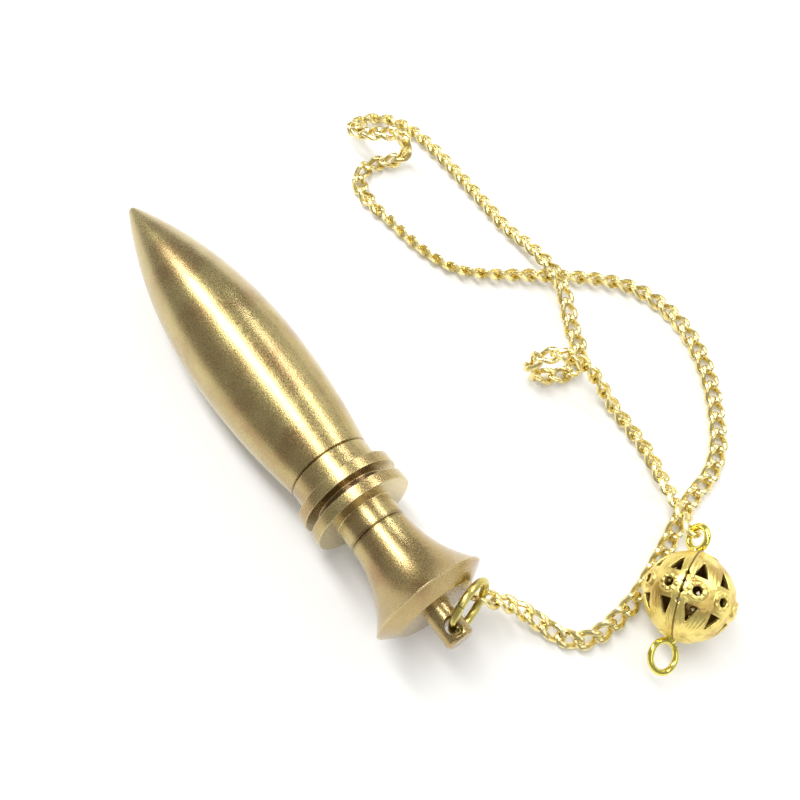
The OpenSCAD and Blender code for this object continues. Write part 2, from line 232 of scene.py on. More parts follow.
def softenCorners(corners, steps=4, most=0.45):
    # a corner with a softness gets a small round in place of its point, over at most that share
    # of the line on each side
    points = []
    for i, (at, radius, softness) in enumerate(corners):
        here = Vector((at, radius))
        if not softness:
            points.append(here)
            continue
        before = Vector(corners[i - 1][:2]) - here
        after = Vector(corners[i + 1][:2]) - here
        start = here + before.normalized() * min(softness, before.length * most)
        end = here + after.normalized() * min(softness, after.length * most)
        for k in range(steps + 1):
            t = k / steps
            points.append(start * (1 - t) ** 2 + here * 2 * t * (1 - t) + end * t ** 2)
    return points


def bobFigures():
    # stations and arcs that follow from the driving sizes
    figures = dict(
        bellyR=bob["bellyDiameter"] / 2,
        bandR=bob["bandDiameter"] / 2,
        neckR=bob["neckDiameter"] / 2,
        rimR=bob["rimDiameter"] / 2,
    )
    figures["collarOneAt"] = bob["ogiveLength"] + bob["bandLength"]
    figures["grooveAt"] = figures["collarOneAt"] + bob["collarThickness"]
    figures["collarTwoAt"] = figures["grooveAt"] + bob["grooveWidth"]
    figures["neckAt"] = figures["collarTwoAt"] + bob["collarThickness"]
    figures["bellAt"] = figures["neckAt"] + bob["neckLength"]
    figures["rimAt"] = figures["bellAt"] + bob["bellLength"]
    figures["endAt"] = figures["rimAt"] + bob["endConeLength"]
    figures["holeAt"] = bob["length"] - bob["holeFromEnd"]
    tipR = bob["tipRadius"]
    run = bob["bellyAt"] - tipR
    bellyR = figures["bellyR"]
    figures["frontArc"] = (run ** 2 + bellyR ** 2 - tipR ** 2) / (2 * (bellyR - tipR))
    figures["tipJoint"] = tipR - tipR * run / (figures["frontArc"] - tipR)
    figures["backArc"] = riseArc(bob["ogiveLength"] - bob["bellyAt"], bellyR - figures["bandR"])
    figures["bellArc"] = riseArc(bob["bellLength"], figures["rimR"] - figures["neckR"])
    restRun = figures["rimAt"] - bob["bellyAt"]
    restRise = figures["frontArc"] + figures["rimR"] - figures["bellyR"]
    lean = math.acos(figures["frontArc"] / math.hypot(restRun, restRise))
    tilt = math.atan2(restRise, restRun) - math.pi / 2 + lean
    figures["restTilt"] = tilt
    pastRim = figures["holeAt"] - figures["rimAt"]
    figures["holeHeight"] = figures["rimR"] * math.cos(tilt) + pastRim * math.sin(tilt)
    return figures


def riseArc(run, height):
    # radius of an arc that starts level and rises by a height over a run
    return (run ** 2 + height ** 2) / (2 * height)


def bobOutline():
    figures = bobFigures()
    edge, soft = bob["edge"], bob["cornerSoftness"]
    halfLine = bob["lineWidth"] / 2
    tipR, bellyAt, bellyR = bob["tipRadius"], bob["bellyAt"], figures["bellyR"]
    corners = [(0, 0, 0)]
    for i in range(1, bob["tipSteps"] + 1):
        turn = math.acos(1 - figures["tipJoint"] / tipR) * i / bob["tipSteps"]
        corners.append((tipR * (1 - math.cos(turn)), tipR * math.sin(turn), 0))
    front, back = figures["frontArc"], figures["backArc"]
    ogiveEnd = bob["ogiveLength"] - halfLine
    tipJoint = figures["tipJoint"]
    corners += arcPoints(bellyAt, bellyR - front, front, tipJoint, bellyAt, bob["frontSteps"])[1:]
    corners += arcPoints(bellyAt, bellyR - back, back, bellyAt, ogiveEnd, bob["backSteps"])[1:]
    corners += [
        (bob["ogiveLength"], figures["bandR"] - bob["lineDepth"], 0),
        (bob["ogiveLength"] + halfLine, figures["bandR"], edge),
        (figures["collarOneAt"], figures["bandR"], soft),
        (figures["collarOneAt"], bob["collarDiameter"] / 2, bob["collarBevel"]),
        (figures["grooveAt"], bob["collarDiameter"] / 2, bob["collarBevel"]),
        (figures["grooveAt"], bob["grooveFloorDiameter"] / 2, soft),
        (figures["collarTwoAt"], bob["grooveFloorDiameter"] / 2, soft),
        (figures["collarTwoAt"], bob["collarDiameter"] / 2, bob["collarBevel"]),
        (figures["neckAt"], bob["collarDiameter"] / 2, bob["collarBevel"]),
        (figures["neckAt"], figures["neckR"], soft),
        (figures["bellAt"] - halfLine, figures["neckR"], edge),
        (figures["bellAt"], figures["neckR"] - bob["lineDepth"], 0),
    ]
    bell, bellStart = figures["bellArc"], figures["bellAt"] + halfLine
    corners += arcPoints(
        figures["bellAt"], figures["neckR"] + bell, -bell, bellStart, figures["rimAt"], bob["bellSteps"])
    corners[-1] = (figures["rimAt"], figures["rimR"], edge)
    corners += [
        (figures["endAt"], bob["endFaceDiameter"] / 2, edge),
        (figures["endAt"], bob["nubDiameter"] / 2, edge),
        (bob["length"] - bob["nubChamfer"], bob["nubDiameter"] / 2, edge),
        (bob["length"], bob["nubDiameter"] / 2 - bob["nubChamfer"], edge),
        (bob["length"], 0, 0),
    ]
    return softenCorners(corners)


def outlineCurve(name, points):
    # a poly spline, radius along X and station along -Y, which the lathe turns to Z
    curve = bpy.data.curves.new(name, "CURVE")
    curve.dimensions = "3D"
    line = curve.splines.new("POLY")
    line.points.add(len(points) - 1)
    for place, point in zip(line.points, points):
        place.co = (point.y * mm, -point.x * mm, 0, 1)
    return curve


def bobFrame():
    # from the lathe's frame (station along Z, from the tip) to the table
    figures = bobFigures()
    hole = Vector((*bob["nubHoleXY"], figures["holeHeight"])) * mm
    tipped = Matrix.Rotation(-figures["restTilt"], 4, "Y") @ Matrix.Rotation(math.radians(90), 4, "Y")
    backToHole = Matrix.Translation((0, 0, -figures["holeAt"] * mm))
    return Matrix.Translation(hole) @ turnZ(bob["heading"]) @ tipped @ backToHole


def bobTree(finish):
    # lathe: the outline goes round a tiny circle, then the cross hole and its countersinks are cut
    tree, sizes = startTree("bobLathe", ["Turns", "Nub", "Hole", "Countersink", "Hole station"])
    axis = addNode(tree, "GeometryNodeCurvePrimitiveCircle", {
        "Resolution": sizes["Turns"], "Radius": bob["axisRadius"] * mm})
    skin = addNode(tree, "GeometryNodeCurveToMesh", {
        "Curve": axis.outputs[0], "Profile Curve": sizes["Geometry"]})
    closed = addNode(tree, "GeometryNodeMergeByDistance", {
        "Geometry": skin.outputs[0], "Distance": bob["axisMerge"] * mm})
    halfHole = addNode(tree, "ShaderNodeMath", {0: sizes["Hole"], 1: 0.5}, operation="MULTIPLY")
    halfSink = addNode(tree, "ShaderNodeMath", {0: sizes["Countersink"], 1: 0.5}, operation="MULTIPLY")
    depth = addNode(tree, "ShaderNodeMath", {
        0: halfSink.outputs[0], 1: halfHole.outputs[0]}, operation="SUBTRACT")
    # the drill is half as long again as the nub is wide
    through = addNode(tree, "ShaderNodeMath", {0: sizes["Nub"], 1: 1.5}, operation="MULTIPLY")
    halfNub = addNode(tree, "ShaderNodeMath", {0: sizes["Nub"], 1: 0.5}, operation="MULTIPLY")
    drill = addNode(tree, "GeometryNodeMeshCylinder", {
        "Vertices": bob["drillSides"], "Radius": halfHole.outputs[0], "Depth": through.outputs[0]})
    cutters = [drill.outputs[0]]
    for turn in (0.0, math.pi):
        # the cone is as deep as it is wide, and goes on past the nub's skin
        tall = addNode(tree, "ShaderNodeMath", {0: depth.outputs[0], 1: 3.0}, operation="MULTIPLY")
        wide = addNode(tree, "ShaderNodeMath", {
            0: halfHole.outputs[0], 1: tall.outputs[0]}, operation="ADD")
        cone = addNode(tree, "GeometryNodeMeshCone", {
            "Vertices": bob["drillSides"], "Radius Top": wide.outputs[0],
            "Radius Bottom": halfHole.outputs[0], "Depth": tall.outputs[0]})
        sunk = addNode(tree, "ShaderNodeMath", {
            0: halfNub.outputs[0], 1: depth.outputs[0]}, operation="SUBTRACT")
        lift = addNode(tree, "ShaderNodeCombineXYZ", {"Z": sunk.outputs[0]})
        raised = addNode(tree, "GeometryNodeTransform", {
            "Geometry": cone.outputs[0], "Translation": lift.outputs[0]})
        flipped = addNode(tree, "GeometryNodeTransform", {
            "Geometry": raised.outputs[0], "Rotation": (turn, 0, 0)})
        cutters.append(flipped.outputs[0])
    station = addNode(tree, "ShaderNodeCombineXYZ", {"Z": sizes["Hole station"]})
    tools = []
    for cutter in cutters:
        moved = addNode(tree, "GeometryNodeTransform", {
            "Geometry": cutter, "Rotation": (0, math.pi / 2, 0), "Translation": station.outputs[0]})
        tools.append(moved.outputs[0])
    drilled = addNode(tree, "GeometryNodeMeshBoolean", {
        "Mesh 1": closed.outputs[0], "Mesh 2": tools}, operation="DIFFERENCE", solver="EXACT")
    endTree(tree, drilled.outputs[0], finish)
    return tree


def buildBob(finish):
    sizes = {
        "Turns": bob["turns"],
        "Nub": bob["nubDiameter"] * mm,
        "Hole": bob["nubHoleDiameter"] * mm,
        "Countersink": bob["countersinkDiameter"] * mm,
        "Hole station": bobFigures()["holeAt"] * mm,
    }
    curve = outlineCurve("bobOutline", bobOutline())
    mesh = runTree("bobBody", curve, bobTree(finish), sizes, bobFrame())
    finishPiece("bobBody", mesh, "bob", bob["sharpAngle"])


# Jump ring
jumpRing = dict(
    diameter=6.1,
    wire=0.9,
    heading=54.0,
    lean=9.0,
    hang=0.18,
    jointAt=112.0,
    jointGap=0.9,
    wireSides=24,
    steps=96,
    sharpAngle=50,
)


def ringTree(name, finish, wireSides):
    # a wire swept round an arc; what is left of the circle is the open joint
    tree, sizes = startTree(name, ["Radius", "Wire radius", "Joint at", "Joint gap", "Steps"])
    sweep = addNode(tree, "ShaderNodeMath", {0: 2 * math.pi, 1: sizes["Joint gap"]}, operation="SUBTRACT")
    halfGap = addNode(tree, "ShaderNodeMath", {0: sizes["Joint gap"], 1: 0.5}, operation="MULTIPLY")
    start = addNode(tree, "ShaderNodeMath", {
        0: sizes["Joint at"], 1: halfGap.outputs[0]}, operation="ADD")
    arc = addNode(tree, "GeometryNodeCurveArc", {
        "Resolution": sizes["Steps"], "Radius": sizes["Radius"],
        "Start Angle": start.outputs[0], "Sweep Angle": sweep.outputs[0]}, mode="RADIUS")
    wire = addNode(tree, "GeometryNodeCurvePrimitiveCircle", {
        "Resolution": wireSides, "Radius": sizes["Wire radius"]})
    ring = addNode(tree, "GeometryNodeCurveToMesh", {
        "Curve": arc.outputs[0], "Profile Curve": wire.outputs[0], "Fill Caps": True})
    endTree(tree, ring.outputs[0], finish)
    return tree


def ringMesh(name, ring, finish, place):
    sizes = {
        "Radius": ring["diameter"] / 2 * mm,
        "Wire radius": ring["wire"] / 2 * mm,
        "Joint at": math.radians(ring["jointAt"]),
        "Joint gap": math.radians(ring["jointGap"]),
        "Steps": ring["steps"],
    }
    empty = bpy.data.meshes.new(name + "Start")
    return runTree(name, empty, ringTree(name + "Tree", finish, ring["wireSides"]), sizes, place)


def jumpRingPlace():
    # on edge through the nub's hole, leaning over on its own diameter
    radius = jumpRing["diameter"] / 2
    nubReach = bob["nubDiameter"] / 2
    bow = radius - math.sqrt(radius ** 2 - nubReach ** 2)
    out = radius - bow / 2 + jumpRing["hang"]
    hole = Vector((*bob["nubHoleXY"], bobFigures()["holeHeight"])) * mm
    lean = Matrix.Rotation(math.radians(-jumpRing["lean"]), 4, "X")
    upright = Matrix.Rotation(math.pi / 2, 4, "X")
    return (Matrix.Translation(hole) @ turnZ(jumpRing["heading"]) @ lean
            @ Matrix.Translation((out * mm, 0, 0)) @ upright)


def buildJumpRing(finish):
    mesh = ringMesh("jumpRing", jumpRing, finish, jumpRingPlace())
    finishPiece("jumpRing", mesh, "jump_ring", jumpRing["sharpAngle"])


# Chain: every link is read from the frame, so it stays where the CAD has it
chain = dict(
    wire=0.7,
    length=2.72,
    width=1.5,
    endLength=3.14,
    endWidth=1.9,
    twist=0.46,
    endReach=3.42,  # a CAD link longer than this over its wire is an end link
    filedAt=0.64,
    steps=24,
    wireSides=8,
    sharpAngle=40,
)


def pointsMesh(name, rows):
    # one point for each row: its place, its two directions and its kind
    mesh = bpy.data.meshes.new(name)
    mesh.from_pydata([row[0] for row in rows], [], [])
    for label, column in (("along", 1), ("across", 2)):
        field = mesh.attributes.new(label, "FLOAT_VECTOR", "POINT")
        field.data.foreach_set("vector", [c for row in rows for c in row[column]])
    kinds = mesh.attributes.new("kind", "INT", "POINT")
    kinds.data.foreach_set("value", [row[3] for row in rows])
    return mesh


def scatter(tree, points, shape, kind, primary="X", secondary="Y"):
    # the same shape on every point of one kind, turned by the point's two directions
    along, across = [
        addNode(tree, "GeometryNodeInputNamedAttribute", {"Name": label}, data_type="FLOAT_VECTOR")
        for label in ("along", "across")]
    kinds = addNode(tree, "GeometryNodeInputNamedAttribute", {"Name": "kind"}, data_type="INT")
    same = addNode(tree, "FunctionNodeCompare", {
        2: kinds.outputs[0], 3: kind}, data_type="INT", operation="EQUAL")
    turned = addNode(tree, "FunctionNodeAxesToRotation", {
        0: along.outputs[0], 1: across.outputs[0]}, primary_axis=primary, secondary_axis=secondary)
    placed = addNode(tree, "GeometryNodeInstanceOnPoints", {
        "Points": points, "Selection": same.outputs[0],
        "Instance": shape, "Rotation": turned.outputs[0]})
    return placed.outputs[0]


def linkPlaces():
    # middle, length direction and width direction of each link, from a merged copy of the CAD chain
    work = bmesh.new()
    work.from_mesh(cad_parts["chain"].data)
    bmesh.ops.remove_doubles(work, verts=work.verts, dist=cleaning["cadMergeWithin"] * mm)
    work.verts.ensure_lookup_table()
    seen = set()
    rows = []
    for first in work.verts:
        if first in seen:
            continue
        group, waiting = [], [first]
        seen.add(first)
        while waiting:
            vert = waiting.pop()
            group.append(vert.co[:])
            for edge in vert.link_edges:
                other = edge.other_vert(vert)
                if other not in seen:
                    seen.add(other)
                    waiting.append(other)
        cloud = np.array(group)
        middle = cloud.mean(0)
        axes = np.linalg.eigh(np.cov((cloud - middle).T))[1]
        along, across = axes[:, 2], axes[:, 1]
        reach = np.ptp((cloud - middle) @ along) / mm
        isEnd = int(reach > chain["endReach"])
        rows.append((tuple(middle), tuple(along), tuple(across), isEnd))
    work.free()
    return rows


def linkShape(tree, sizes, length, width):
    # an oval of wire, twisted like a figure of eight, with its high places filed flat
    circle = addNode(tree, "GeometryNodeCurvePrimitiveCircle", {
        "Radius": 1.0, "Resolution": chain["steps"]})
    place = addNode(tree, "ShaderNodeSeparateXYZ", {
        "Vector": addNode(tree, "GeometryNodeInputPosition").outputs[0]})
    x, y = place.outputs[0], place.outputs[1]
    far = addNode(tree, "ShaderNodeMath", {0: x, 1: sizes[length]}, operation="MULTIPLY")
    side = addNode(tree, "ShaderNodeMath", {0: y, 1: sizes[width]}, operation="MULTIPLY")
    both = addNode(tree, "ShaderNodeMath", {0: x, 1: y}, operation="MULTIPLY")
    twice = addNode(tree, "ShaderNodeMath", {0: both.outputs[0], 1: 2.0}, operation="MULTIPLY")
    rise = addNode(tree, "ShaderNodeMath", {0: twice.outputs[0], 1: sizes["Twist"]}, operation="MULTIPLY")
    joined = addNode(tree, "ShaderNodeCombineXYZ", {
        "X": far.outputs[0], "Y": side.outputs[0], "Z": rise.outputs[0]})
    path = addNode(tree, "GeometryNodeSetPosition", {
        "Geometry": circle.outputs[0], "Position": joined.outputs[0]})
    wire = addNode(tree, "GeometryNodeCurvePrimitiveCircle", {
        "Resolution": chain["wireSides"], "Radius": sizes["Wire radius"]})
    link = addNode(tree, "GeometryNodeCurveToMesh", {
        "Curve": path.outputs[0], "Profile Curve": wire.outputs[0]})
    skin = addNode(tree, "ShaderNodeSeparateXYZ", {
        "Vector": addNode(tree, "GeometryNodeInputPosition").outputs[0]})
    low = addNode(tree, "ShaderNodeMath", {0: sizes["Filed at"], 1: -1.0}, operation="MULTIPLY")
    filed = addNode(tree, "ShaderNodeClamp", {
        "Value": skin.outputs[2], "Min": low.outputs[0], "Max": sizes["Filed at"]})
    flat = addNode(tree, "ShaderNodeCombineXYZ", {
        "X": skin.outputs[0], "Y": skin.outputs[1], "Z": filed.outputs[0]})
    shaped = addNode(tree, "GeometryNodeSetPosition", {
        "Geometry": link.outputs[0], "Position": flat.outputs[0]})
    return shaped.outputs[0]


def buildChain(finish):
    values = {
        "Half length": chain["length"] / 2 * mm,
        "Half width": chain["width"] / 2 * mm,
        "End half length": chain["endLength"] / 2 * mm,
        "End half width": chain["endWidth"] / 2 * mm,
        "Twist": chain["twist"] * mm,
        "Wire radius": chain["wire"] / 2 * mm,
        "Filed at": chain["filedAt"] * mm,
    }
    tree, sizes = startTree("curbChain", values)
    plain = linkShape(tree, sizes, "Half length", "Half width")
    end = linkShape(tree, sizes, "End half length", "End half width")
    links = addNode(tree, "GeometryNodeJoinGeometry", {0: [
        scatter(tree, sizes["Geometry"], plain, 0),
        scatter(tree, sizes["Geometry"], end, 1)]})
    endTree(tree, links.outputs[0], finish)
    mesh = runTree("curbChain", pointsMesh("linkPoints", linkPlaces()), tree, values)
    finishPiece("curbChain", mesh, "chain", chain["sharpAngle"])


# Bead: a pierced ball of two stamped halves, its seam across, with a ring soldered at each end
bead = dict(
    ballDiameter=9.7,
    wall=0.5,
    relief=0.15,
    rosettes=10,
    rosetteDiameter=2.1,
    rosetteHole=1.0,
    petals=8,
    petalRadius=0.3,
    petalsAt=0.77,
    petalHeight=0.13,
    petalWidth=0.8,  # as a share of its length
    petalSink=0.02,
    bandWidth=1.5,
    seamWidth=0.14,
    seamDepth=0.2,
    capDiameter=3.6,
    windowLats=(19, 44),
    windowHalfTurn=9,
    gussetLats=(31, 55),
    gussetHalfTurn=13,
    crossLats=(-18, -6, 6, 18),
    crossSpan=0.74,
    crossWaist=0.34,
    centreXY=(28.7, -31.1),
    heading=66.5,
    rise=9.5,
    seamTurn=-20,  # one rosette round from the solid's, so that it shows where the photo has it
    punchDepth=3,
    toolReach=12,
    ballSides=128,
    discSides=48,
    capSides=64,
    holeSides=32,
    voxel=0.08,
    relax=3,
    keep=0.45,
    sharpAngle=50,
)
ballR = bead["ballDiameter"] / 2
raisedR = ballR + bead["relief"]
rosetteKind, windowKind, gussetKind, crossKind = range(4)
hangingRing = dict(
    diameter=2.65,
    wire=0.75,
    offset=10,
    turn=56,
    sink=0.25,
    jointAt=250.0,
    jointGap=1.5,
    wireSides=24,
    steps=64,
)
endRing = dict(
    diameter=3.4,
    wire=0.7,
    offset=-4,
    turn=34,
    sink=0.0,
    jointAt=300.0,
    jointGap=4.0,
    wireSides=24,
    steps=80,
)
knob = dict(
    diameter=1.3,
    sides=32,
    intoRing=0.05,
    foot=((1.0, 0.0), (1.0, 0.35), (0.93, 0.5)),  # share of its width, and height over its foot
    head=((0.86, 0.12), (0.72, 0.0)),  # share of its width, and depth under its top
)


def aimed(heading, rise):
    # turns Z to point along a heading and rise
    return turnZ(heading) @ Matrix.Rotation(math.radians(90 - rise), 4, "Y")


def onBall(lat, lon, spin, kind):
    # a point at the ball's middle that faces out at a latitude and longitude, with its Y toward a pole
    turned = turnZ(lon) @ Matrix.Rotation(math.radians(90 - lat), 4, "Y") @ turnZ(90 + spin)
    return ((0, 0, 0), tuple(turned.col[2][:3]), tuple(turned.col[0][:3]), kind)


def ballPlaces():
    # the rosettes, the windows and gussets on both sides of them, and the crosses along the seam
    rows = []
    sector = 360 / bead["rosettes"]
    windowMid = sum(bead["windowLats"]) / 2
    gussetMid = sum(bead["gussetLats"]) / 2
    for k in range(bead["rosettes"]):
        rows.append(onBall(0, (k + 0.5) * sector, 0, rosetteKind))
        for side in (1, -1):
            spin = 0 if side > 0 else 180
            rows.append(onBall(side * windowMid, (k + 0.5) * sector, spin, windowKind))
            if k % (bead["rosettes"] // 2):
                rows.append(onBall(side * gussetMid, k * sector, spin, gussetKind))
    for lon in (0, 180):
        for lat in bead["crossLats"]:
            rows.append(onBall(lat, lon, 0, crossKind))
    return rows


def triangleTool(tree, baseLat, tipLat, halfTurn):
    # three-sided punch, its base and tip set by latitudes on the ball
    mid = (baseLat + tipLat) / 2
    baseY = ballR * math.sin(math.radians(baseLat - mid))
    tipY = ballR * math.sin(math.radians(tipLat - mid))
    halfBase = ballR * math.cos(math.radians(baseLat)) * math.sin(math.radians(halfTurn))
    blank = addNode(tree, "GeometryNodeMeshCylinder", {
        "Vertices": 3, "Radius": 1.0, "Depth": bead["punchDepth"] * mm})
    upright = addNode(tree, "GeometryNodeTransform", {
        "Geometry": blank.outputs[0], "Rotation": (0, 0, math.pi / 2)})
    # the blank's tip is at Y 1 and its base at Y -0.5, 1.732 wide
    sized = addNode(tree, "GeometryNodeTransform", {
        "Geometry": upright.outputs[0],
        "Scale": (halfBase / math.sin(math.pi / 3) * mm, (tipY - baseY) / 1.5 * mm, 1),
        "Translation": (0, (tipY + 2 * baseY) / 3 * mm, ballR * mm)})
    return sized.outputs[0]


def rhombusTool(tree, turn):
    # one arm of a cross
    blank = addNode(tree, "GeometryNodeMeshCylinder", {
        "Vertices": 4, "Radius": 1.0, "Depth": bead["punchDepth"] * mm})
    sized = addNode(tree, "GeometryNodeTransform", {
        "Geometry": blank.outputs[0],
        "Scale": (bead["crossSpan"] / 2 * mm, bead["crossWaist"] / 2 * mm, 1)})
    turned = addNode(tree, "GeometryNodeTransform", {
        "Geometry": sized.outputs[0], "Rotation": (0, 0, turn), "Translation": (0, 0, ballR * mm)})
    return turned.outputs[0]


def roundTool(tree, diameter, sides):
    # a round bar that stands on the ball's raised skin, half of it inside
    bar = addNode(tree, "GeometryNodeMeshCylinder", {
        "Vertices": sides, "Radius": diameter / 2 * mm, "Depth": bead["punchDepth"] * mm})
    lifted = addNode(tree, "GeometryNodeTransform", {
        "Geometry": bar.outputs[0], "Translation": (0, 0, raisedR * mm)})
    return lifted.outputs[0]


def raisedParts(tree, points, raisedBall, bandWidth):
    # what stands out of the ball: the band over the seam, a disc under each rosette and two caps
    reach = bead["toolReach"] * mm
    bandSize = addNode(tree, "ShaderNodeCombineXYZ", {"X": reach, "Y": bandWidth, "Z": reach})
    band = addNode(tree, "GeometryNodeMeshCube", {"Size": bandSize.outputs[0]})
    disc = roundTool(tree, bead["rosetteDiameter"], bead["discSides"])
    caps = addNode(tree, "GeometryNodeMeshCylinder", {
        "Vertices": bead["capSides"], "Radius": bead["capDiameter"] / 2 * mm, "Depth": reach})
    parts = []
    for shape in (band.outputs[0], scatter(tree, points, disc, rosetteKind, "Z", "X"), caps.outputs[0]):
        real = addNode(tree, "GeometryNodeRealizeInstances", {"Geometry": shape})
        part = addNode(tree, "GeometryNodeMeshBoolean", {
            "Mesh 2": [raisedBall, real.outputs[0]]}, operation="INTERSECT", solver="EXACT")
        parts.append(part.outputs[0])
    return parts


def piercingTools(tree, points):
    # what is punched out of the ball, each kind of hole on its own points
    punches = [
        (roundTool(tree, bead["rosetteHole"], bead["holeSides"]), rosetteKind),
        (triangleTool(tree, *bead["windowLats"], bead["windowHalfTurn"]), windowKind),
        (triangleTool(tree, *bead["gussetLats"][::-1], bead["gussetHalfTurn"]), gussetKind),
        (rhombusTool(tree, 0.0), crossKind),
        (rhombusTool(tree, math.pi / 2), crossKind),
    ]
    tools = []
    for shape, kind in punches:
        placed = scatter(tree, points, shape, kind, "Z", "X")
        tools.append(addNode(tree, "GeometryNodeRealizeInstances", {"Geometry": placed}).outputs[0])
    return tools


def seamRing(tree):
    # the seam line is a thin ring taken out of the band
    circle = addNode(tree, "GeometryNodeCurvePrimitiveCircle", {
        "Resolution": bead["ballSides"], "Radius": raisedR * mm})
    section = addNode(tree, "GeometryNodeCurvePrimitiveCircle", {
        "Resolution": 8, "Radius": bead["seamDepth"] * mm})
    ring = addNode(tree, "GeometryNodeCurveToMesh", {
        "Curve": circle.outputs[0], "Profile Curve": section.outputs[0]})
    thin = addNode(tree, "GeometryNodeTransform", {
        "Geometry": ring.outputs[0], "Rotation": (math.pi / 2, 0, 0),
        "Scale": (1, 1, bead["seamWidth"] / 2 / bead["seamDepth"])})
    return thin.outputs[0]


def petalRing(tree):
    # petals stand on the raised discs, a little below the ball's widest reach
    petal = addNode(tree, "GeometryNodeMeshUVSphere", {
        "Segments": 12, "Rings": 8, "Radius": bead["petalRadius"] * mm})
    flat = addNode(tree, "GeometryNodeTransform", {
        "Geometry": petal.outputs[0],
        "Scale": (1, bead["petalWidth"], bead["petalHeight"] / bead["petalRadius"])})
    circle = addNode(tree, "GeometryNodeMeshCircle", {
        "Vertices": bead["petals"], "Radius": bead["petalsAt"] * mm})
    spot = addNode(tree, "GeometryNodeInputPosition")
    outward = addNode(tree, "FunctionNodeAxesToRotation", {
        0: spot.outputs[0], 1: (0.0, 0.0, 1.0)}, primary_axis="X", secondary_axis="Z")
    flower = addNode(tree, "GeometryNodeInstanceOnPoints", {
        "Points": circle.outputs[0], "Instance": flat.outputs[0], "Rotation": outward.outputs[0]})
    height = math.sqrt(raisedR ** 2 - bead["petalsAt"] ** 2) - bead["petalSink"]
    lifted = addNode(tree, "GeometryNodeTransform", {
        "Geometry": flower.outputs[0], "Translation": (0, 0, height * mm)})
    return lifted.outputs[0]


def ballTree(finish):
    # a ball with its raised parts, then the seam line, then the holes; the petals come last
    tree, sizes = startTree("piercedBall", ["Ball radius", "Raised radius", "Inner radius", "Band width"])
    points = sizes["Geometry"]
    balls = {}
    for label in ("Ball radius", "Raised radius", "Inner radius"):
        balls[label] = addNode(tree, "GeometryNodeMeshUVSphere", {
            "Segments": bead["ballSides"], "Rings": bead["ballSides"] // 2,
            "Radius": sizes[label]}).outputs[0]
    raised = raisedParts(tree, points, balls["Raised radius"], sizes["Band width"])
    whole = addNode(tree, "GeometryNodeMeshBoolean", {
        "Mesh 2": [balls["Ball radius"]] + raised}, operation="UNION", solver="EXACT")
    lined = addNode(tree, "GeometryNodeMeshBoolean", {
        "Mesh 1": whole.outputs[0], "Mesh 2": [seamRing(tree)]}, operation="DIFFERENCE", solver="EXACT")
    tools = [balls["Inner radius"]] + piercingTools(tree, points)
    pierced = addNode(tree, "GeometryNodeMeshBoolean", {
        "Mesh 1": lined.outputs[0], "Mesh 2": tools}, operation="DIFFERENCE", solver="EXACT")
    flowers = scatter(tree, points, petalRing(tree), rosetteKind, "Z", "X")
    both = addNode(tree, "GeometryNodeJoinGeometry", {0: [pierced.outputs[0], flowers]})
    endTree(tree, both.outputs[0], finish)
    return tree


def ballCentre():
    # the ball rests on the table by its raised parts
    return Matrix.Translation(Vector((*bead["centreXY"], raisedR)) * mm)


def ballRingPlace(ring, flip):
    # the pole's own frame, the ring's place on it, and how far out the ring's middle is
    out = raisedR - ring["sink"] + ring["wire"] / 2 + ring["diameter"] / 2
    aim = aimed(bead["heading"] + ring["offset"], bead["rise"])
    over = Matrix.Rotation(math.pi, 4, "X") if flip else Matrix.Identity(4)
    upright = Matrix.Rotation(math.pi / 2, 4, "X")
    base = ballCentre() @ aim @ over @ turnZ(90 - ring["turn"])
    return base, base @ Matrix.Translation((0, 0, out * mm)) @ upright, out


def solderKnob(name, ring, base, out):
    # short post from inside the ball's wall to the ring, widest at its foot where the solder ran
    foot = ballR - bead["wall"] / 2
    top = out - ring["diameter"] / 2 + knob["intoRing"]
    half = knob["diameter"] / 2
    outline = [(0, foot)]
    outline += [(half * share, foot + height) for share, height in knob["foot"]]
    outline += [(half * share, top - depth) for share, depth in knob["head"]]
    outline.append((0, top))
    work = bmesh.new()
    rings = []
    for radius, height in outline:
        sides = 1 if radius == 0 else knob["sides"]
        rings.append([work.verts.new((
            radius * math.cos(2 * math.pi * i / sides) * mm,
            radius * math.sin(2 * math.pi * i / sides) * mm, height * mm)) for i in range(sides)])
    for low, high in zip(rings, rings[1:]):
        for i in range(knob["sides"]):
            corners = [low[i % len(low)], low[(i + 1) % len(low)],
                       high[(i + 1) % len(high)], high[i % len(high)]]
            work.faces.new(list(dict.fromkeys(corners)))
    mesh = bpy.data.meshes.new(name)
    work.to_mesh(mesh)
    work.free()
    mesh.transform(base)
    return mesh


def joinMeshes(name, parts, finishes):
    # one mesh from several, each with its own finish
    work = bmesh.new()
    for mesh, finish in parts:
        before = len(work.faces)
        work.from_mesh(mesh)
        work.faces.ensure_lookup_table()
        for face in work.faces[before:]:
            face.material_index = finishes.index(finish)
    joined = bpy.data.meshes.new(name)
    work.to_mesh(joined)
    work.free()
    for finish in finishes:
        joined.materials.append(finish)
    return joined


def beadFrame():
    # from the ball's own frame (poles along Z) to the table
    return ballCentre() @ aimed(bead["heading"], bead["rise"]) @ turnZ(180 + bead["seamTurn"])


